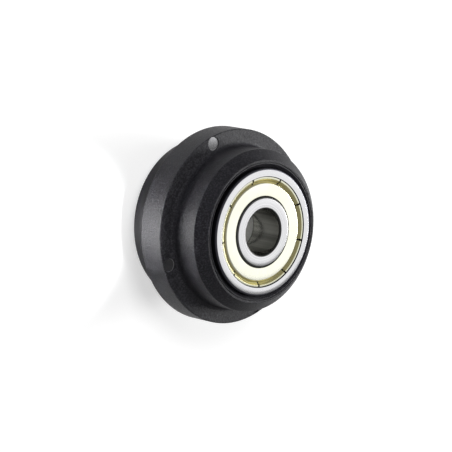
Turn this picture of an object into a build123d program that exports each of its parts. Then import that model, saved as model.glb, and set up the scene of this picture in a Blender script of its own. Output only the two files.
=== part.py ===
"""Chain guide wheel: a toothless flanged roller on two shielded ball bearings of 8 x 22 x 7 mm.

The wheel's axis is Z. The rear bearing's outer face lies at Z = 0, where the wheel stands on its end,
and the front bearing's face is the top. X and Y lie in the plane of the faces. Millimetres.
"""
import os
from math import cos, radians, sin, sqrt

from build123d import *

os.makedirs("parts", exist_ok=True)

# Bearing, both alike: rings
bearing_bore = 8.0
bearing_diameter = 22.0
bearing_width = 7.0
outer_ring_corner = 0.3
inner_ring_corner = 0.4
bore_corner = 0.4

# Bearing: balls and their tracks
ball_diameter = 3.969
ball_count = 7
pitch_diameter = (bearing_bore + bearing_diameter) / 2
track_clearance = 0.01
track_conformity = 0.52
inner_track_depth = 0.545
outer_track_depth = 0.445

# Bearing: pressed cage in two halves, clinched by tabs
cage_sheet = 0.2
cage_width = 1.9
cage_pocket_gap = 0.06
cage_tab_arc = 7.0
cage_tab_reach = 0.5

# Bearing: pressed shields
shield_sheet = 0.2
shield_seat_step = 0.55
shield_seat_depth = 0.85
shield_gap = 0.13
shield_face_depth = 0.24
shield_face_inset = 1.25
shield_groove_depth = 0.55
shield_groove_inset = 0.85
shield_groove_width = 0.3
shield_rim_depth = 0.12
shield_rim_width = 0.42
shield_rim_curl = 0.12
shield_notch_count = 9
shield_notch_width = 0.35
shield_notch_length = 0.65
shield_notch_depth = 0.44

# Spacer tube between the inner rings
spacer_length = 5.7
spacer_axle_clearance = 0.2
spacer_wall = 1.3
spacer_corner = 0.2

# Moulded roller body
bearing_stand_out = 0.45
mouth_lead_in = 0.75
rim_width = 0.65
hub_bevel = 1.7
flange_height = 2.9
flange_width = 5.0
flange_edge = 0.2
root_fillet = 0.8
web_shoulder = 1.5

# Round witness marks of the mould's pins, on the front face of the flange
mark_count = 4
mark_depth = 0.2
mark_edge_gap = 0.25
mark_angle = 115.0

# Angles of the pieces that can stand at any angle
notch_angle = {"rear": 0.0, "front": 31.4}
ball_angle = {"rear": 12.0, "front": 30.0}

# How closely an edge must match a radius and a height to be picked
pick_tolerance = 0.001

# Heights
overall_length = 2 * bearing_width + spacer_length
middle = overall_length / 2
bearing_base = {"rear": 0.0, "front": bearing_width + spacer_length}

# Radii of the bearing
bore_radius = bearing_bore / 2
seat_radius = bearing_diameter / 2
ball_radius = ball_diameter / 2
pitch_radius = pitch_diameter / 2
track_radius = track_conformity * ball_diameter
outer_track_bottom = pitch_radius + ball_radius + track_clearance
inner_track_bottom = pitch_radius - ball_radius - track_clearance
outer_land_radius = outer_track_bottom - outer_track_depth
inner_land_radius = inner_track_bottom + inner_track_depth
shield_seat_radius = outer_land_radius + shield_seat_step
pocket_radius = ball_radius + cage_pocket_gap
half_ball_pitch = 180 / ball_count

# Radii of the spacer and the roller body
spacer_bore_radius = bore_radius + spacer_axle_clearance
spacer_radius = spacer_bore_radius + spacer_wall
lead_in_radius = seat_radius + mouth_lead_in
hub_radius = lead_in_radius + rim_width + hub_bevel
flange_radius = hub_radius + flange_height


def section_plane(height, side=1, angle=0):
    """Plane through the axis at angle: x is the radius, y the distance from height along side * Z."""
    across = (cos(radians(angle)), sin(radians(angle)), 0)
    normal = (side * across[1], -side * across[0], 0)
    return Plane(origin=(0, 0, height), x_dir=across, z_dir=normal)


def pocket_plane(height, angle):
    """Plane that faces outward along the radius at angle, inside the cage's band."""
    outward = (cos(radians(angle)), sin(radians(angle)), 0)
    start = pitch_radius / 2
    origin = (start * outward[0], start * outward[1], height)
    return Plane(origin=origin, x_dir=(-outward[1], outward[0], 0), z_dir=outward)


def track_half_width(land_radius, track_bottom, inward):
    """Half the width of a ball track where it meets its land."""
    track_centre = track_bottom + inward * track_radius
    return sqrt(track_radius**2 - (land_radius - track_centre) ** 2)


def circles_at(part, radius, heights):
    """The part's circular edges of this radius at any of these heights."""
    return [
        edge
        for edge in part.edges().filter_by(GeomType.CIRCLE)
        if abs(edge.radius - radius) < pick_tolerance
        and any(abs(edge.center().Z - height) < pick_tolerance for height in heights)
    ]


def right_of(path, distance):
    """The path's points moved to its right by distance, with its corners kept sharp."""
    points = [Vector(*point) for point in path]
    ways = [(after - before).normalized() for before, after in zip(points, points[1:])]
    sides = [Vector(way.Y, -way.X) for way in ways]
    return [
        point + (before + after) * (distance / (1 + before.dot(after)))
        for point, before, after in zip(points, [sides[0]] + sides, sides + [sides[-1]])
    ]


def roller_body():
    """Moulded body: a hub at each end, a flange between them, and a seat for a bearing in each hub."""
    half_length = middle - bearing_stand_out
    half_web = spacer_length / 2
    half_flange = flange_width / 2
    flange_faces = (middle - half_flange, middle + half_flange)
    mark_radius = flange_height / 2 - mark_edge_gap
    with BuildPart() as body:
        with BuildSketch(section_plane(middle)):
            with BuildLine():
                Polyline(
                    (seat_radius - web_shoulder, 0),
                    (seat_radius - web_shoulder, half_web),
                    (seat_radius, half_web),
                    (seat_radius, half_length - mouth_lead_in),
                    (lead_in_radius, half_length),
                    (lead_in_radius + rim_width, half_length),
                    (hub_radius, half_length - hub_bevel),
                    (hub_radius, half_flange),
                    (flange_radius, half_flange),
                    (flange_radius, 0),
                    close=True,
                )
            make_face()
            mirror(about=Plane.XZ)
        revolve(axis=Axis.Z)
        fillet(circles_at(body, hub_radius, flange_faces), root_fillet)
        fillet(circles_at(body, flange_radius, flange_faces), flange_edge)
        with BuildSketch(Plane.XY.offset(middle + half_flange - mark_depth)):
            with PolarLocations(hub_radius + flange_height / 2, mark_count, start_angle=mark_angle):
                Circle(mark_radius)
        extrude(amount=mark_depth + root_fillet, mode=Mode.SUBTRACT)
    body.part.label = "roller_body"
    export_step(body.part, "parts/roller_body.step")


def spacer_tube():
    """Tube that holds the two inner rings apart, clear of the axle in its bore."""
    ends = (bearing_width, bearing_width + spacer_length)
    with BuildPart() as spacer:
        with BuildSketch(Plane.XY.offset(bearing_width)):
            Circle(spacer_radius)
            Circle(spacer_bore_radius, mode=Mode.SUBTRACT)
        extrude(amount=spacer_length)
        chamfer(circles_at(spacer, spacer_radius, ends), spacer_corner)
    spacer.part.label = "spacer_tube"
    export_step(spacer.part, "parts/spacer_tube.step")


def bearing_outer_ring(end):
    """Outer ring: a ball track between two lands, and a stepped seat for a shield at each face."""
    half_width = bearing_width / 2
    seat_top = half_width - shield_seat_depth
    half_track = track_half_width(outer_land_radius, outer_track_bottom, -1)
    with BuildPart() as ring:
        with BuildSketch(section_plane(bearing_base[end] + half_width)):
            with BuildLine():
                ThreePointArc(
                    (outer_land_radius, -half_track),
                    (outer_track_bottom, 0),
                    (outer_land_radius, half_track),
                )
                Polyline(
                    (outer_land_radius, half_track),
                    (outer_land_radius, seat_top),
                    (shield_seat_radius, seat_top),
                    (shield_seat_radius, half_width),
                    (seat_radius - outer_ring_corner, half_width),
                    (seat_radius, half_width - outer_ring_corner),
                    (seat_radius, outer_ring_corner - half_width),
                    (seat_radius - outer_ring_corner, -half_width),
                    (shield_seat_radius, -half_width),
                    (shield_seat_radius, -seat_top),
                    (outer_land_radius, -seat_top),
                    (outer_land_radius, -half_track),
                )
            make_face()
        revolve(axis=Axis.Z)
    ring.part.label = f"{end}_outer_ring"
    export_step(ring.part, f"parts/{end}_outer_ring.step")


def bearing_inner_ring(end):
    """Inner ring: the bore for the axle, and a ball track in the land outside it."""
    half_width = bearing_width / 2
    half_track = track_half_width(inner_land_radius, inner_track_bottom, 1)
    with BuildPart() as ring:
        with BuildSketch(section_plane(bearing_base[end] + half_width)):
            with BuildLine():
                ThreePointArc(
                    (inner_land_radius, -half_track),
                    (inner_track_bottom, 0),
                    (inner_land_radius, half_track),
                )
                Polyline(
                    (inner_land_radius, half_track),
                    (inner_land_radius, half_width - inner_ring_corner),
                    (inner_land_radius - inner_ring_corner, half_width),
                    (bore_radius + bore_corner, half_width),
                    (bore_radius, half_width - bore_corner),
                    (bore_radius, bore_corner - half_width),
                    (bore_radius + bore_corner, -half_width),
                    (inner_land_radius - inner_ring_corner, -half_width),
                    (inner_land_radius, inner_ring_corner - half_width),
                    (inner_land_radius, -half_track),
                )
            make_face()
        revolve(axis=Axis.Z)
    ring.part.label = f"{end}_inner_ring"
    export_step(ring.part, f"parts/{end}_inner_ring.step")


def bearing_balls(end):
    """The set of balls, each its own piece, evenly spaced on the pitch circle."""
    height = bearing_base[end] + bearing_width / 2
    for number in range(ball_count):
        angle = radians(ball_angle[end] + number * 360 / ball_count)
        centre = (pitch_radius * cos(angle), pitch_radius * sin(angle), height)
        with BuildPart() as ball:
            with Locations(centre):
                Sphere(ball_radius)
        ball.part.label = f"{end}_ball_{number + 1}"
        export_step(ball.part, f"parts/{end}_ball_{number + 1}.step")


def bearing_cage_half(end, side, tabs):
    """Half a ribbon cage: flat webs that meet at mid height, and a rounded pocket over each ball."""
    height = bearing_base[end] + bearing_width / 2
    wave_radius = pocket_radius + cage_sheet
    pocket_angles = [ball_angle[end] + number * 360 / ball_count for number in range(ball_count)]
    band_outside = pitch_radius + cage_width / 2
    band_inside = pitch_radius - cage_width / 2
    tab_inside = band_outside - cage_tab_reach
    tab_outside = band_outside + cage_sheet
    with BuildPart() as half:
        with BuildSketch(Plane.XY.offset(height)):
            Circle(band_outside)
        extrude(amount=side * cage_sheet)
        for angle in pocket_angles:
            with BuildSketch(pocket_plane(height, angle)):
                Circle(wave_radius)
            extrude(amount=band_outside)
        with BuildSketch(Plane.XY.offset(height)):
            Circle(band_outside)
            Circle(band_inside, mode=Mode.SUBTRACT)
        extrude(amount=side * wave_radius, mode=Mode.INTERSECT)
        for angle in pocket_angles:
            with BuildSketch(pocket_plane(height, angle)):
                Circle(pocket_radius)
            extrude(amount=band_outside, mode=Mode.SUBTRACT)
        if tabs:
            for angle in pocket_angles:
                tab_start = angle + half_ball_pitch - cage_tab_arc / 2
                with BuildSketch(section_plane(height, side, tab_start)):
                    with BuildLine():
                        Polyline(
                            (tab_inside, cage_sheet),
                            (tab_inside, 0),
                            (band_outside, 0),
                            (band_outside, -cage_sheet),
                            (tab_inside, -cage_sheet),
                            (tab_inside, -2 * cage_sheet),
                            (tab_outside, -2 * cage_sheet),
                            (tab_outside, cage_sheet),
                            close=True,
                        )
                    make_face()
                revolve(axis=Axis.Z, revolution_arc=cage_tab_arc)
    name = f"{end}_cage_{'front' if side > 0 else 'rear'}_half"
    half.part.label = name
    export_step(half.part, f"parts/{name}.step")


def bearing_shield(end, side):
    """Pressed shield: a flat face, a groove around it, and a notched rim turned down into its seat."""
    face = bearing_base[end] + bearing_width / 2 + side * bearing_width / 2
    groove_radius = shield_seat_radius - shield_groove_inset
    half_groove = shield_groove_width / 2
    outside = [
        (inner_land_radius + shield_gap, -shield_face_depth),
        (shield_seat_radius - shield_face_inset, -shield_face_depth),
        (groove_radius - half_groove, -shield_groove_depth),
        (groove_radius + half_groove, -shield_groove_depth),
        (shield_seat_radius - shield_rim_width, -shield_rim_depth),
        (shield_seat_radius, -shield_rim_depth),
        (shield_seat_radius, -shield_seat_depth),
    ]
    with BuildPart() as shield:
        with BuildSketch(section_plane(face, side)):
            with BuildLine():
                Polyline(*outside, *reversed(right_of(outside, shield_sheet)), close=True)
            make_face()
        revolve(axis=Axis.Z)
        chamfer(circles_at(shield, shield_seat_radius, (face - side * shield_rim_depth,)), shield_rim_curl)
        with BuildSketch(Plane.XY.offset(face)):
            notch_centre = shield_seat_radius - shield_notch_length / 2
            with PolarLocations(notch_centre, shield_notch_count, start_angle=notch_angle[end]):
                Rectangle(shield_notch_length, shield_notch_width)
        extrude(amount=-side * shield_notch_depth, mode=Mode.SUBTRACT)
    name = f"{end}_bearing_{'front' if side > 0 else 'rear'}_shield"
    shield.part.label = name
    export_step(shield.part, f"parts/{name}.step")


roller_body()
spacer_tube()
for end in ("rear", "front"):
    bearing_outer_ring(end)
    bearing_inner_ring(end)
    bearing_balls(end)
    for side in (-1, 1):
        bearing_shield(end, side)
        bearing_cage_half(end, side, tabs=side > 0)
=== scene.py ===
from math import cos, pi, radians, sin, tan

import bmesh
import bpy
from mathutils import Matrix, Vector


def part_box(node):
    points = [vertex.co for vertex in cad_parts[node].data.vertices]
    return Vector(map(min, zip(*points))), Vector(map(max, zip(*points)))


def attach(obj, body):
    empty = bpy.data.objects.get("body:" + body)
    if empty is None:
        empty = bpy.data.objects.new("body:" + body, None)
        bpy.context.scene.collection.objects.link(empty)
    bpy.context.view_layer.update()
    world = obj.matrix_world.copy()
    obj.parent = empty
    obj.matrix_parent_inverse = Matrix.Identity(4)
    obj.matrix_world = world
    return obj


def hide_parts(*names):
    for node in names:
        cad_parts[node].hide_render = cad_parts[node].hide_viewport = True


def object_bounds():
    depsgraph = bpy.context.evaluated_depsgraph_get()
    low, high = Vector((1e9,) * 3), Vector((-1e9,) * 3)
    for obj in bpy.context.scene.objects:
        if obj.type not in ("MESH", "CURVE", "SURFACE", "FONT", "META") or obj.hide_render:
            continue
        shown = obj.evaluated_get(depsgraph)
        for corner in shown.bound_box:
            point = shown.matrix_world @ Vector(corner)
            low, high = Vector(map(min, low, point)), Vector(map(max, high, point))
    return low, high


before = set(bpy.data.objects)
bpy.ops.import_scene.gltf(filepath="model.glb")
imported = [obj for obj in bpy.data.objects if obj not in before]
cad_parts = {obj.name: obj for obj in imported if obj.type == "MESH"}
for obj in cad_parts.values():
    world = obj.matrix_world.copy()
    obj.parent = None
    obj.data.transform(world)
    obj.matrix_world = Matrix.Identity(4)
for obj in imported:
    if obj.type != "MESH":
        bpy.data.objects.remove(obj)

cad_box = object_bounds()

MM = 0.001

# Heights and lengths along the wheel's axis, read from the frame
body_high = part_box("roller_body")[1]
wheel_length = (cad_box[1].z - cad_box[0].z) / MM
flange_radius = body_high.x / MM
middle = wheel_length / 2
hub_end = body_high.z / MM - middle
bearing_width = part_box("rear_inner_ring")[1].z / MM
bearing_base = {"rear": 0.0, "front": wheel_length - bearing_width}
inner_end = middle - bearing_width

# Bearing, in millimetres
seat_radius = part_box("front_outer_ring")[1].x / MM
inner_land_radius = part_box("front_inner_ring")[1].x / MM
shield_seat_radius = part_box("front_bearing_front_shield")[1].x / MM
bore_radius = 4.0
ring_corner = 0.3
bore_corner = 0.3
seat_mouth_edge = 0.05
outer_land_radius = 9.05
outer_track_half_width = 1.3
outer_track_depth = 0.44
inner_track_half_width = 1.35
inner_track_depth = 0.54
track_rounding = 1.6

# Shields, in millimetres
shield_seat_depth = 0.85
shield_sheet = 0.2
shield_gap = 0.13
shield_face_depth = 0.24
shield_face_inset = 1.25
shield_groove_depth = 0.55
shield_groove_inset = 0.85
shield_groove_width = 0.12
shield_rim_depth = 0.12
shield_rim_width = 0.42
shield_bend = 0.1
shield_lip_edge = 0.04
shield_rim_edge = 0.12
under_rim_shift = 0.11
under_bend_shift = 0.1
notch_count = 9
notch_width = 0.35
notch_length = 0.65
notch_depth = 0.44
notch_overrun = 0.1
notch_angle = {"rear": 0.0, "front": 31.4}

# Roller body and spacer, in millimetres
flange_half_width = 2.5
hub_radius = 14.1
hub_bevel = 1.7
rim_width = 0.65
mouth_lead_in = 0.75
root_fillet = 0.8
flange_edge = 0.2
bevel_edge = 0.22
rim_edge = 0.1
mouth_lip = 0.16
mouth_groove = 0.11
mouth_groove_depth = 0.14
mouth_lip_edge = 0.04
seat_edge = 0.08
web_shoulder = 1.5
web_edge = 0.15
mark_count = 4
mark_radius = 1.2
mark_depth = 0.2
mark_angle = 115.0
mark_floor_edge = 0.04
mark_core = 0.001
polished_marks = 2
mark_reach = 15.74
spacer_bore_radius = 4.2
spacer_wall = 1.3
spacer_inner_edge = 0.1
spacer_outer_edge = 0.2

# Mesh fineness
turn_steps = 288
corner_steps = 6
sharp_angle = radians(30)

# Soft steps of the finish and of the painted shade, each from where to where beside the edge that it belongs
# to, in millimetres
mark_side_step = (-0.08, 0.0)
mark_floor_step = (-0.12, -0.06)
rear_grain_step = (-0.1, 0.0)
under_face_step = (-0.3, -0.05)
over_face_step = (0.05, 0.3)
bore_wall_step = (0.2, 0.26)
bore_corner_step = (0.27, 0.31)
bore_joint_step = (0.25, 0.4)
ring_end_step = (-0.45, -0.35)
land_inner_step = (-0.28, -0.24)
land_outer_step = (0.3, 0.4)
ring_corner_step = (-0.29, -0.25)
crimp_inner_step = (-0.6, -0.5)
crimp_outer_step = (0.02, 0.06)
# Depths of the painted shade in the shields' groove: its olive tone, then its darkest tone
groove_shade_step = (0.27, 0.4)
deep_groove_shade_step = (0.5, 0.56)
shield_rim_step = (0.02, 0.08)
shield_face_step = (-0.06, 0.0)
shield_groove_step = (-0.02, 0.06)
shield_crimp_step = (-0.1, -0.05)
shield_lip_step = (0.06, 0.12)
# The slots' painted shade, reaching slit_overreach further in than the slots
slit_side_step = (-0.04, 0.0)
slit_end_step = (-0.08, 0.0)
slit_overreach = 0.3

# The range that most of a noise lies in
noise_low = 0.3
noise_high = 0.7

# Places of the colour sockets on a Mix node
mix_first = 6
mix_second = 7
mix_result = 2


def rounded(corners):
    """Outline of (radius, height, rounding) corners, each rounding drawn as an arc."""
    outline = []
    for index, (x, y, rounding) in enumerate(corners):
        corner = Vector((x, y))
        if rounding == 0:
            outline.append(corner)
            continue
        before = (Vector(corners[index - 1][:2]) - corner).normalized()
        after = (Vector(corners[(index + 1) % len(corners)][:2]) - corner).normalized()
        half_turn = before.angle(after) / 2
        centre = corner + (before + after).normalized() * (rounding / sin(half_turn))
        start = corner + before * (rounding / tan(half_turn)) - centre
        end = corner + after * (rounding / tan(half_turn)) - centre
        sweep = start.angle_signed(end)
        for step in range(corner_steps + 1):
            arm = start.copy()
            arm.rotate(Matrix.Rotation(-sweep * step / corner_steps, 2))
            outline.append(centre + arm)
    return outline


def turned(name, corners):
    """Solid of revolution about Z from a closed outline in millimetres."""
    outline = rounded(corners)
    mesh = bpy.data.meshes.new(name)
    shape = bmesh.new()
    rings = []
    for step in range(turn_steps):
        angle = 2 * pi * step / turn_steps
        rings.append([
            shape.verts.new((point.x * cos(angle) * MM, point.x * sin(angle) * MM, point.y * MM))
            for point in outline
        ])
    count = len(outline)
    for ring, following in zip(rings, rings[1:] + rings[:1]):
        for index in range(count):
            beyond = (index + 1) % count
            shape.faces.new((ring[index], following[index], following[beyond], ring[beyond]))
    bmesh.ops.recalc_face_normals(shape, faces=shape.faces)
    shape.to_mesh(mesh)
    shape.free()
    piece = bpy.data.objects.new(name, mesh)
    bpy.context.scene.collection.objects.link(piece)
    return piece


def cut(piece, cutters):
    """Takes the cutters out of the piece and deletes them."""
    for cutter in cutters:
        difference = piece.modifiers.new("cut", "BOOLEAN")
        difference.operation = "DIFFERENCE"
        difference.solver = "EXACT"
        difference.object = cutter
    bpy.context.view_layer.update()
    evaluated = piece.evaluated_get(bpy.context.evaluated_depsgraph_get())
    mesh = bpy.data.meshes.new_from_object(evaluated)
    piece.modifiers.clear()
    piece.data = mesh
    for cutter in cutters:
        bpy.data.objects.remove(cutter)


def finished(piece, node, body, slot):
    """Shades the piece, gives it its material and lets it stand for its CAD node."""
    piece.data.materials.clear()
    piece.data.materials.append(materials[slot])
    piece.data.shade_smooth()
    piece.data.set_sharp_from_angle(angle=sharp_angle)
    weighted = piece.modifiers.new("flat faces stay flat", "WEIGHTED_NORMAL")
    weighted.keep_sharp = True
    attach(piece, body)
    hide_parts(node)


def put(tree, socket, value):
    """Links a socket to the value's node, or sets a plain number or colour."""
    if isinstance(value, bpy.types.NodeSocket):
        tree.links.new(value, socket)
    else:
        socket.default_value = value


def math_result(tree, operation, first, second=0.0):
    """Result of a math node on two sockets or numbers."""
    node = tree.nodes.new("ShaderNodeMath")
    node.operation = operation
    put(tree, node.inputs[0], first)
    put(tree, node.inputs[1], second)
    return node.outputs[0]


class Shader:
    """A material's node tree around one Principled shader."""

    def __init__(self, name, **constants):
        self.material = bpy.data.materials.new(name)
        self.material.use_nodes = True
        self.tree = self.material.node_tree
        self.surface = self.tree.nodes["Principled BSDF"]
        for socket, value in constants.items():
            self.surface.inputs[socket.replace("_", " ")].default_value = value
        self.place = self.add("ShaderNodeTexCoord").outputs["Object"]

    def add(self, kind, settings=None, **inputs):
        node = self.tree.nodes.new(kind)
        for name, value in (settings or {}).items():
            setattr(node, name, value)
        for name, value in inputs.items():
            put(self.tree, node.inputs[name.replace("_", " ")], value)
        return node

    def math(self, operation, first, second=0.0):
        return math_result(self.tree, operation, first, second)

    def both(self, first, second):
        """Share of the surface that lies in both masks."""
        return self.math("MULTIPLY", first, second)

    def blend(self, share, first, second):
        node = self.add("ShaderNodeMix", {"data_type": "RGBA"})
        put(self.tree, node.inputs["Factor"], share)
        put(self.tree, node.inputs[mix_first], first)
        put(self.tree, node.inputs[mix_second], second)
        return node.outputs[mix_result]

    def mapped(self, value, low, high, to_low, to_high):
        node = self.add("ShaderNodeMapRange", Value=value)
        for name, number in (("From Min", low), ("From Max", high), ("To Min", to_low), ("To Max", to_high)):
            node.inputs[name].default_value = number
        return node.outputs["Result"]

    def past(self, value, edge, step):
        """0 before the soft step beside the edge, and 1 past it."""
        return self.mapped(value, (edge + step[0]) * MM, (edge + step[1]) * MM, 0.0, 1.0)

    def short_of(self, value, edge, step):
        """1 before the soft step beside the edge, and 0 past it."""
        return self.mapped(value, (edge + step[0]) * MM, (edge + step[1]) * MM, 1.0, 0.0)

    def spread(self, noise, least=0.0, most=1.0, low=noise_low, high=noise_high):
        """The noise's range from low to high, drawn out to run from least to most."""
        return self.mapped(noise, low, high, least, most)

    def noise(self, scale, detail=2.0, roughness=0.5):
        return self.add(
            "ShaderNodeTexNoise", Vector=self.place, Scale=scale, Detail=detail, Roughness=roughness
        ).outputs["Fac"]

    def circles(self, scale, detail=3.0):
        """Noise that runs in fine circles about the axis, and along it on round walls."""
        way = self.math("ADD", self.radius(), self.height())
        node = self.add("ShaderNodeTexNoise", {"noise_dimensions": "1D"}, W=way, Scale=scale, Detail=detail)
        return node.outputs["Fac"]

    def streaks(self, scale, detail=3.0):
        """Noise that stays the same along the axis."""
        node = self.add("ShaderNodeTexNoise", Vector=self.flat_place(), Scale=scale, Detail=detail)
        return node.outputs["Fac"]

    def coordinates(self):
        return self.add("ShaderNodeSeparateXYZ", Vector=self.place).outputs

    def height(self):
        return self.coordinates()[2]

    def from_middle(self):
        """Distance along the axis from the wheel's middle."""
        return self.math("ABSOLUTE", self.math("SUBTRACT", self.height(), middle * MM))

    def flat_place(self):
        """The place with its height left out."""
        x, y, _ = self.coordinates()
        return self.add("ShaderNodeCombineXYZ", X=x, Y=y).outputs[0]

    def radius(self):
        x, y, _ = self.coordinates()
        squares = self.math("ADD", self.math("MULTIPLY", x, x), self.math("MULTIPLY", y, y))
        return self.math("SQRT", squares)

    def on_marks(self):
        """1 on the polished mould marks of the flange, 0 beside them."""
        place = self.flat_place()
        total = 0.0
        for number in range(polished_marks):
            apart = self.add("ShaderNodeVectorMath", {"operation": "DISTANCE"})
            put(self.tree, apart.inputs[0], place)
            put(self.tree, apart.inputs[1], mark_centre(number))
            inside = self.short_of(apart.outputs["Value"], mark_radius, mark_side_step)
            total = self.math("MAXIMUM", total, inside)
        return total

    def in_slit_shade(self):
        """1 in the shields' slots and just inside them, 0 elsewhere; it places the slots' painted shade."""
        x, y, z = self.coordinates()
        radius = self.radius()
        front = self.math("GREATER_THAN", z, middle * MM)
        start = self.mapped(front, 0.0, 1.0, radians(notch_angle["rear"]), radians(notch_angle["front"]))
        turn = self.math("SUBTRACT", self.math("ARCTAN2", y, x), start)
        pitch = radians(360 / notch_count)
        part = self.math("FRACT", self.math("ADD", self.math("DIVIDE", turn, pitch), 0.5))
        apart = self.math("ABSOLUTE", self.math("MULTIPLY", self.math("SUBTRACT", part, 0.5), pitch))
        across = self.short_of(self.math("MULTIPLY", apart, radius), notch_width / 2, slit_side_step)
        inner = shield_seat_radius - notch_length - slit_overreach
        return self.both(across, self.past(radius, inner, slit_end_step))

    def bumps(self, *layers):
        """Each layer is (height, strength, distance in metres)."""
        normal = None
        for height, strength, distance in layers:
            node = self.add("ShaderNodeBump", Height=height, Strength=strength, Distance=distance)
            if normal:
                put(self.tree, node.inputs["Normal"], normal)
            normal = node.outputs["Normal"]
        put(self.tree, self.surface.inputs["Normal"], normal)

    def surface_links(self, **inputs):
        for name, value in inputs.items():
            put(self.tree, self.surface.inputs[name.replace("_", " ")], value)


def mark_centre(number):
    """Centre of a mould mark, seen along the axis."""
    angle = radians(mark_angle + number * 360 / mark_count)
    return Vector((cos(angle), sin(angle), 0)) * mark_reach * MM


def roller_plastic():
    """Black moulded plastic: spark-eroded grain, smoother on the rear hub, polished in two mould marks,
    lighter on the flange face as painted sheen.
    """
    shader = Shader("roller_plastic", Specular_IOR_Level=0.2)
    dark, light = (0.006, 0.0058, 0.008, 1), (0.01, 0.0096, 0.0125, 1)
    # The flange face's lighter tone and lighter specks are painted sheen
    flange_sheen_tone = (0.015, 0.0148, 0.0175, 1)
    speck_tone, flange_sheen_speck_tone = (0.034, 0.0335, 0.039, 1), (0.056, 0.0555, 0.062, 1)
    polished_tone = (0.45, 0.45, 0.46, 1)
    polished_roughness = 0.2
    polished_metal = 0.95
    grain = shader.noise(3600.0, detail=2.0, roughness=0.6)
    coarse = shader.noise(1500.0)
    cloud = shader.noise(160.0, detail=4.0)
    z = shader.height()
    face = middle + flange_half_width
    grained = shader.past(z, middle - flange_half_width, rear_grain_step)
    polished = shader.both(shader.on_marks(), shader.short_of(z, face, mark_floor_step))
    unpolished = shader.math("SUBTRACT", 1.0, polished)
    on_flange = shader.both(
        shader.past(z, face, under_face_step), shader.short_of(z, face, over_face_step)
    )

    rough = shader.spread(grain, 0.42, 0.62, low=0.35, high=0.65)
    smooth = shader.spread(cloud, 0.3, 0.36)
    moulded = shader.math("ADD", smooth, shader.both(grained, shader.math("SUBTRACT", rough, smooth)))
    roughness = shader.math(
        "ADD", shader.both(moulded, unpolished), shader.math("MULTIPLY", polished, polished_roughness)
    )

    tone = shader.blend(shader.spread(cloud, low=0.35, high=0.75), dark, light)
    # Painted sheen: a lighter tone and lighter specks on the flange face
    tone = shader.blend(on_flange, tone, flange_sheen_tone)
    peaks = shader.both(shader.spread(grain, low=0.42, high=0.72), grained)
    tone = shader.blend(peaks, tone, shader.blend(on_flange, speck_tone, flange_sheen_speck_tone))
    shader.surface_links(
        Base_Color=shader.blend(polished, tone, polished_tone),
        Roughness=roughness,
        Metallic=shader.math("MULTIPLY", polished, polished_metal),
    )
    shader.bumps(
        (shader.both(coarse, unpolished), 0.3, 0.00003),
        (shader.both(grain, shader.both(grained, unpolished)), 0.9, 0.00006),
    )
    return shader.material


def ring_steel():
    """Ground bearing steel: fine circular lines and streaks along the bore, with painted shade in the bore,
    on the rounded corners and at the shield's crimp.
    """
    shader = Shader("ring_steel", Metallic=1.0, Anisotropic=0.3)
    ground_dark, ground_light = (0.56, 0.56, 0.57, 1), (0.63, 0.63, 0.64, 1)
    # Painted shade: the bore's tones are darker than the ground faces, with streaks along the axis
    bore_dark, bore_light = (0.26, 0.26, 0.245, 1), (0.52, 0.52, 0.49, 1)
    # Painted shade at the bore's inner end, beside the spacer
    joint_shade_tone = (0.03, 0.03, 0.03, 1)
    # Painted shade on the rounded corners: the inner ring's outer corner, the outer ring's outer corner and
    # the bore's corner
    land_shade_tone = (0.15, 0.15, 0.15, 1)
    corner_shade_tone = (0.09, 0.09, 0.107, 1)
    bore_corner_shade_tone = (0.07, 0.07, 0.068, 1)
    # Painted shade in the crevice at the shield's crimp
    crimp_shade_tone = (0.03, 0.03, 0.028, 1)
    corner_roughness = 0.33
    lines = shader.circles(26000.0)
    broad = shader.circles(5000.0, detail=2.0)
    cloud = shader.noise(240.0, detail=3.0)
    tangent = shader.add("ShaderNodeTangent", {"direction_type": "RADIAL", "axis": "Z"}).outputs[0]
    radius = shader.radius()
    from_middle = shader.from_middle()

    in_joint_shade = shader.short_of(from_middle, inner_end, bore_joint_step)
    in_bore = shader.short_of(radius, bore_radius, bore_wall_step)
    on_land = shader.both(
        shader.past(radius, inner_land_radius, land_inner_step),
        shader.short_of(radius, inner_land_radius, land_outer_step),
    )
    on_corner = shader.past(radius, seat_radius, ring_corner_step)
    on_bore_corner = shader.both(
        shader.past(from_middle, middle, ring_end_step),
        shader.short_of(radius, bore_radius, bore_corner_step),
    )
    in_crimp_shade = shader.both(
        shader.short_of(radius, shield_seat_radius, crimp_outer_step),
        shader.past(radius, shield_seat_radius, crimp_inner_step),
    )

    # Painted shade: the bore is darker than the faces, and darkest at its inner end beside the spacer
    bore = shader.blend(shader.spread(shader.streaks(900.0), low=0.4, high=0.62), bore_dark, bore_light)
    bore = shader.blend(in_joint_shade, bore, joint_shade_tone)
    colour = shader.blend(shader.spread(broad), ground_dark, ground_light)
    colour = shader.blend(in_bore, colour, bore)
    # Painted shade on the rounded corners
    colour = shader.blend(on_land, colour, land_shade_tone)
    colour = shader.blend(on_corner, colour, corner_shade_tone)
    colour = shader.blend(on_bore_corner, colour, bore_corner_shade_tone)
    # Painted shade at the shield's crimp
    colour = shader.blend(in_crimp_shade, colour, crimp_shade_tone)
    corners = shader.math("MAXIMUM", shader.math("MAXIMUM", on_corner, on_land), on_bore_corner)
    roughness = shader.math(
        "ADD", shader.spread(cloud, 0.12, 0.17), shader.math("MULTIPLY", corners, corner_roughness)
    )
    shader.surface_links(Base_Color=colour, Roughness=roughness, Tangent=tangent)
    shader.bumps((lines, 0.12, 0.000004))
    return shader.material


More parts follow.
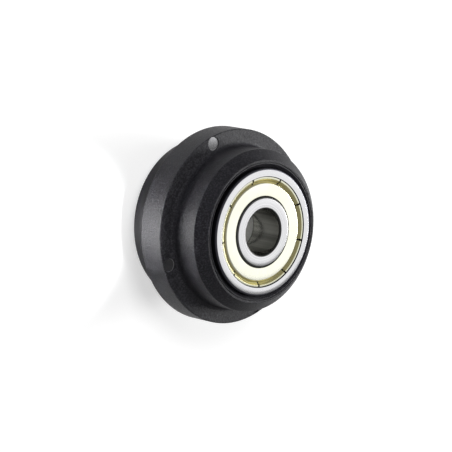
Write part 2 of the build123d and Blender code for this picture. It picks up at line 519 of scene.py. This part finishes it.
def shield_steel():
    """Thin pressed sheet with a pale cream zinc plating, with painted shade on its rim, olive and dark down
    in its groove, and dark in its slots and at its edges.
    """
    shader = Shader("shield_steel", Metallic=1.0)
    plating_dark, plating_light = (0.77, 0.77, 0.65, 1), (0.83, 0.83, 0.71, 1)
    # Painted shade: the rim is darker than the face
    rim_shade_tone = (0.56, 0.56, 0.45, 1)
    # Painted shade down in the groove and on its outer slope: olive, and darkest at the bottom
    groove_shade_tone = (0.56, 0.51, 0.25, 1)
    deep_groove_shade_tone = (0.2, 0.19, 0.1, 1)
    # Painted shade in the slots
    slit_shade_tone = (0.03, 0.03, 0.025, 1)
    # Painted shade at the crimp and at the lip's gap to the inner ring
    gap_shade_tone = (0.05, 0.048, 0.035, 1)
    slope_roughness = 0.14
    cloud = shader.noise(420.0, detail=4.0)
    speck = shader.noise(5200.0)
    radius = shader.radius()
    depth = shader.math("SUBTRACT", middle * MM, shader.from_middle())

    on_rim = shader.past(radius, shield_seat_radius - shield_rim_width, shield_rim_step)
    off_rim = shader.math("SUBTRACT", 1.0, on_rim)
    off_face = shader.past(radius, shield_seat_radius - shield_face_inset, shield_face_step)
    slopes = shader.both(off_face, off_rim)
    outside_groove = shader.past(radius, shield_seat_radius - shield_groove_inset, shield_groove_step)
    outer_slope = shader.both(outside_groove, slopes)
    olive = shader.math("MAXIMUM", shader.past(depth, 0.0, groove_shade_step), outer_slope)
    crimp = shader.past(radius, shield_seat_radius, shield_crimp_step)
    lip = shader.short_of(radius, inner_land_radius + shield_gap, shield_lip_step)

    colour = shader.blend(shader.spread(cloud), plating_dark, plating_light)
    # Painted shade on the rim
    colour = shader.blend(on_rim, colour, rim_shade_tone)
    # Painted shade in the groove, olive and darkest at its bottom
    colour = shader.blend(olive, colour, groove_shade_tone)
    colour = shader.blend(shader.past(depth, 0.0, deep_groove_shade_step), colour, deep_groove_shade_tone)
    # Painted shade in the slots and just inside them
    colour = shader.blend(shader.in_slit_shade(), colour, slit_shade_tone)
    # Painted shade at the crimp and at the lip's gap to the inner ring
    colour = shader.blend(shader.math("MAXIMUM", crimp, lip), colour, gap_shade_tone)
    roughness = shader.math(
        "ADD", shader.spread(cloud, 0.12, 0.17), shader.math("MULTIPLY", slopes, slope_roughness)
    )
    shader.surface_links(Base_Color=colour, Roughness=roughness)
    shader.bumps((speck, 0.12, 0.000004))
    return shader.material


def spacer_metal():
    """Turned aluminium with tool lines and a dull, grainy bore."""
    shader = Shader("spacer_metal", Metallic=1.0)
    dark, light = (0.7, 0.7, 0.69, 1), (0.86, 0.86, 0.84, 1)
    lines = shader.circles(9000.0)
    speck = shader.noise(3800.0, detail=3.0)
    colour = shader.blend(shader.spread(speck), dark, light)
    shader.surface_links(Base_Color=colour, Roughness=shader.spread(speck, 0.42, 0.55))
    shader.bumps((lines, 0.3, 0.00001), (speck, 0.3, 0.00001))
    return shader.material


def ball_steel():
    """Polished balls with a trace of uneven gloss."""
    shader = Shader("ball_steel", Metallic=1.0)
    dark, light = (0.8, 0.8, 0.81, 1), (0.86, 0.86, 0.87, 1)
    cloud = shader.noise(900.0, detail=3.0)
    shader.surface_links(
        Base_Color=shader.blend(cloud, dark, light), Roughness=shader.spread(cloud, 0.06, 0.1)
    )
    shader.bumps((cloud, 0.03, 0.000002))
    return shader.material


def cage_steel():
    """Pressed cold-rolled strip, dull and faintly mottled."""
    shader = Shader("cage_steel", Metallic=1.0)
    dark, light = (0.46, 0.45, 0.43, 1), (0.6, 0.59, 0.57, 1)
    speck = shader.noise(2600.0, detail=4.0)
    shader.surface_links(
        Base_Color=shader.blend(speck, dark, light), Roughness=shader.spread(speck, 0.34, 0.46)
    )
    shader.bumps((speck, 0.2, 0.000006))
    return shader.material


materials = {
    "roller_plastic": roller_plastic(),
    "ring_steel": ring_steel(),
    "ball_steel": ball_steel(),
    "cage_steel": cage_steel(),
    "shield_steel": shield_steel(),
    "spacer_metal": spacer_metal(),
}


def mark_cutter(number):
    """A mould pin's round end, set into the flange's front face."""
    low = middle + flange_half_width - mark_depth
    high = middle + flange_half_width + root_fillet
    cutter = turned("mark_cutter", [
        (mark_core, low, 0),
        (mark_radius, low, mark_floor_edge),
        (mark_radius, high, 0),
        (mark_core, high, 0),
    ])
    cutter.data.transform(Matrix.Translation(mark_centre(number)))
    return cutter


def make_roller_body():
    """Two bevelled hubs with a flange between them, and a bearing seat in each end."""
    mouth_radius = seat_radius + mouth_lead_in
    groove_inside = mouth_radius + mouth_lip
    groove_outside = groove_inside + mouth_groove
    groove_floor = hub_end - mouth_groove_depth
    front_half = [
        (seat_radius - web_shoulder, inner_end, web_edge),
        (seat_radius, inner_end, seat_edge),
        (seat_radius, hub_end - mouth_lead_in, seat_edge),
        (mouth_radius, hub_end, mouth_lip_edge),
        (groove_inside, hub_end, mouth_lip_edge),
        (groove_inside, groove_floor, 0),
        (groove_outside, groove_floor, 0),
        (groove_outside, hub_end, mouth_lip_edge),
        (mouth_radius + rim_width, hub_end, rim_edge),
        (hub_radius, hub_end - hub_bevel, bevel_edge),
        (hub_radius, flange_half_width, root_fillet),
        (flange_radius, flange_half_width, flange_edge),
    ]
    corners = [(r, middle + z, rounding) for r, z, rounding in front_half]
    corners += [(r, middle - z, rounding) for r, z, rounding in reversed(front_half)]
    piece = turned("roller_body_shaped", corners)
    cut(piece, [mark_cutter(number) for number in range(mark_count)])
    finished(piece, "roller_body", "wheel", "roller_plastic")


def make_outer_ring(end):
    """Outer ring with rounded corners, a ball track and the stepped seats of its shields."""
    low = bearing_base[end]
    high = low + bearing_width
    centre = low + bearing_width / 2
    piece = turned(f"{end}_outer_ring_shaped", [
        (outer_land_radius, low + shield_seat_depth, 0),
        (shield_seat_radius, low + shield_seat_depth, 0),
        (shield_seat_radius, low, seat_mouth_edge),
        (seat_radius, low, ring_corner),
        (seat_radius, high, ring_corner),
        (shield_seat_radius, high, seat_mouth_edge),
        (shield_seat_radius, high - shield_seat_depth, 0),
        (outer_land_radius, high - shield_seat_depth, 0),
        (outer_land_radius, centre + outer_track_half_width, 0),
        (outer_land_radius + outer_track_depth, centre, track_rounding),
        (outer_land_radius, centre - outer_track_half_width, 0),
    ])
    finished(piece, f"{end}_outer_ring", "wheel", "ring_steel")


def make_inner_ring(end):
    """Inner ring with its bore, rounded corners and ball track."""
    low = bearing_base[end]
    high = low + bearing_width
    centre = low + bearing_width / 2
    piece = turned(f"{end}_inner_ring_shaped", [
        (bore_radius, low, bore_corner),
        (inner_land_radius, low, ring_corner),
        (inner_land_radius, centre - inner_track_half_width, 0),
        (inner_land_radius - inner_track_depth, centre, track_rounding),
        (inner_land_radius, centre + inner_track_half_width, 0),
        (inner_land_radius, high, ring_corner),
        (bore_radius, high, bore_corner),
    ])
    finished(piece, f"{end}_inner_ring", "axle_side", "ring_steel")


def notch_cutter(face, side, number, start):
    """A slot's block, from the face down through the shield's rim."""
    low, high = sorted((face + side * notch_overrun, face - side * notch_depth))
    inside = shield_seat_radius - notch_length
    outside = shield_seat_radius + notch_overrun
    angle = radians(start + number * 360 / notch_count)
    shape = bmesh.new()
    bmesh.ops.create_cube(shape, size=1.0)
    size = Matrix.Diagonal((outside - inside, notch_width, high - low, 1))
    place = Matrix.Translation(((outside + inside) / 2, 0, (low + high) / 2))
    bmesh.ops.transform(shape, matrix=Matrix.Rotation(angle, 4, "Z") @ place @ size, verts=shape.verts)
    bmesh.ops.scale(shape, vec=(MM, MM, MM), verts=shape.verts)
    mesh = bpy.data.meshes.new("notch_cutter")
    shape.to_mesh(mesh)
    shape.free()
    cutter = bpy.data.objects.new("notch_cutter", mesh)
    bpy.context.scene.collection.objects.link(cutter)
    return cutter


def make_shield(end, side):
    """Pressed shield with soft bends and nine slots in its rim."""
    face = bearing_base[end] + (bearing_width if side > 0 else 0.0)
    lip_radius = inner_land_radius + shield_gap
    face_end = shield_seat_radius - shield_face_inset
    rim_start = shield_seat_radius - shield_rim_width
    groove_inside = shield_seat_radius - shield_groove_inset - shield_groove_width / 2
    groove_outside = groove_inside + shield_groove_width
    top = [
        (lip_radius, shield_face_depth, shield_lip_edge),
        (face_end, shield_face_depth, shield_bend),
        (groove_inside, shield_groove_depth, shield_bend),
        (groove_outside, shield_groove_depth, shield_bend),
        (rim_start, shield_rim_depth, shield_bend),
        (shield_seat_radius, shield_rim_depth, shield_rim_edge),
        (shield_seat_radius, shield_seat_depth, 0),
    ]
    under = [
        (shield_seat_radius - shield_sheet, shield_seat_depth, 0),
        (shield_seat_radius - shield_sheet, shield_rim_depth + shield_sheet, 0),
        (rim_start + under_rim_shift, shield_rim_depth + shield_sheet, 0),
        (groove_outside + under_bend_shift, shield_groove_depth + shield_sheet, 0),
        (groove_inside - under_bend_shift, shield_groove_depth + shield_sheet, 0),
        (face_end - under_bend_shift, shield_face_depth + shield_sheet, 0),
        (lip_radius, shield_face_depth + shield_sheet, 0),
    ]
    name = f"{end}_bearing_{'front' if side > 0 else 'rear'}_shield"
    corners = [(r, face - side * depth, rounding) for r, depth, rounding in top + under]
    piece = turned(f"{name}_shaped", corners)
    cut(piece, [notch_cutter(face, side, number, notch_angle[end]) for number in range(notch_count)])
    finished(piece, name, "wheel", "shield_steel")


def make_spacer():
    """Tube between the inner rings."""
    low = bearing_width
    high = wheel_length - bearing_width
    outside = spacer_bore_radius + spacer_wall
    piece = turned("spacer_tube_shaped", [
        (spacer_bore_radius, low, spacer_inner_edge),
        (outside, low, spacer_outer_edge),
        (outside, high, spacer_outer_edge),
        (spacer_bore_radius, high, spacer_inner_edge),
    ])
    finished(piece, "spacer_tube", "axle_side", "spacer_metal")


make_roller_body()
make_spacer()
for end in ("rear", "front"):
    make_outer_ring(end)
    make_inner_ring(end)
    for side in (-1, 1):
        make_shield(end, side)

# The hidden balls and cages keep their CAD meshes and get a full material
for name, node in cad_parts.items():
    for kind, slot in (("_ball_", "ball_steel"), ("_cage_", "cage_steel")):
        if kind in name:
            node.data.materials.clear()
            node.data.materials.append(materials[slot])

# Camera, as the photograph sees the wheel
image_size = 452
focal_pixels = 2645.0
pixels_per_mm = 5.85
centre_column = 262.99
centre_row = 231.73
principal_pixel = 225.5
view_turn = 0.7513
view_tilt = 0.1343
sensor_mm = 36.0
nearest_seen = 0.01
furthest_seen = 20.0


def make_camera():
    """Places the camera from the direction and the place of the front face in the picture."""
    axis = Vector((sin(view_turn) * cos(view_tilt), sin(view_tilt), -cos(view_turn) * cos(view_tilt)))
    picture_up = Vector((0, -1, 0))
    wheel_y = (picture_up - picture_up.dot(axis) * axis).normalized()
    wheel_x = wheel_y.cross(axis)
    right, down, forward = (Vector((wheel_x[i], wheel_y[i], axis[i])) for i in range(3))
    distance = focal_pixels / pixels_per_mm
    across = (centre_column - principal_pixel) / pixels_per_mm
    below = (centre_row - principal_pixel) / pixels_per_mm
    front_centre = Vector((0, 0, wheel_length))
    place = (front_centre - right * across - down * below - forward * distance) * MM
    data = bpy.data.cameras.new("camera")
    data.sensor_width = sensor_mm
    data.lens = focal_pixels * sensor_mm / image_size
    data.clip_start = nearest_seen
    data.clip_end = furthest_seen
    camera = bpy.data.objects.new("camera", data)
    turn = Matrix((right, -down, -forward)).transposed().to_4x4()
    camera.matrix_world = Matrix.Translation(place) @ turn
    bpy.context.scene.collection.objects.link(camera)
    bpy.context.scene.camera = camera


# Studio, in metres and watts
floor_size = 3.0
floor_colour = 0.55
floor_lift = 0.6
world_light = 0.1
world_seen = 1.0
world_mirrored = 0.37
wheel_centre = (0, 0, middle * MM)
lamps = {
    "face_softbox": {"place": (0.2, 0.062, 0.226), "size": (0.24, 0.24), "power": 0.17},
    "key_softbox": {"place": (0.285, 0.02, 0.11), "size": (0.12, 0.12), "power": 0.97},
    "back_left_softbox": {
        "place": (-0.17, 0.17, 0.3), "size": (0.16, 0.16), "power": 0.85, "mirrored": False,
    },
    "gridded_floor_strip": {
        "place": (-0.045, -0.003, 0.05), "aim": (-0.045, -0.003, 0), "size": (0.04, 0.008), "power": 0.075,
        "spread": 30,
    },
}


def ray_strength(tree, base, camera, mirrored):
    """The strength that a camera, glossy or transmission ray sees, and the base for every other kind."""
    path = tree.nodes.new("ShaderNodeLightPath")
    kinds = {"Is Camera Ray": camera, "Is Glossy Ray": mirrored, "Is Transmission Ray": mirrored}
    total = base
    for name, strength in kinds.items():
        share = math_result(tree, "MULTIPLY", path.outputs[name], strength)
        total = math_result(tree, "MAXIMUM", total, share)
    return total


def make_floor():
    """Pale floor that shows white to the camera and in metal, and keeps the wheel's shadow."""
    mesh = bpy.data.meshes.new("floor")
    half = floor_size / 2
    corners = [(-half, -half, 0), (half, -half, 0), (half, half, 0), (-half, half, 0)]
    mesh.from_pydata(corners, [], [(0, 1, 2, 3)])
    floor = bpy.data.objects.new("floor", mesh)
    bpy.context.scene.collection.objects.link(floor)
    material = bpy.data.materials.new("floor")
    material.use_nodes = True
    tree = material.node_tree
    tree.nodes.clear()
    matt = tree.nodes.new("ShaderNodeBsdfDiffuse")
    matt.inputs["Color"].default_value = (floor_colour, floor_colour, floor_colour, 1)
    glow = tree.nodes.new("ShaderNodeEmission")
    put(tree, glow.inputs["Strength"], ray_strength(tree, 0.0, floor_lift, floor_lift))
    both = tree.nodes.new("ShaderNodeAddShader")
    tree.links.new(matt.outputs[0], both.inputs[0])
    tree.links.new(glow.outputs[0], both.inputs[1])
    output = tree.nodes.new("ShaderNodeOutputMaterial")
    tree.links.new(both.outputs[0], output.inputs["Surface"])
    mesh.materials.append(material)


def make_world():
    """Even studio surroundings: dim as light, white to the camera and in between in metal."""
    world = bpy.data.worlds.new("studio")
    world.use_nodes = True
    tree = world.node_tree
    background = tree.nodes["Background"]
    background.inputs["Color"].default_value = (1, 1, 1, 1)
    put(tree, background.inputs["Strength"], ray_strength(tree, world_light, world_seen, world_mirrored))
    bpy.context.scene.world = world


def make_lamps():
    """Soft lamps, aimed at the middle of the wheel unless they say where."""
    for name, lamp in lamps.items():
        data = bpy.data.lights.new(name, "AREA")
        data.shape = "RECTANGLE"
        data.size, data.size_y = lamp["size"]
        data.energy = lamp["power"]
        data.spread = radians(lamp.get("spread", 180))
        light = bpy.data.objects.new(name, data)
        place = Vector(lamp["place"])
        away = place - Vector(lamp.get("aim", wheel_centre))
        light.location = place
        light.rotation_euler = away.to_track_quat("Z", "Y").to_euler()
        light.visible_camera = False
        light.visible_glossy = lamp.get("mirrored", True)
        bpy.context.scene.collection.objects.link(light)


make_camera()
make_floor()
make_world()
make_lamps()
bpy.context.scene.view_settings.view_transform = "Standard"
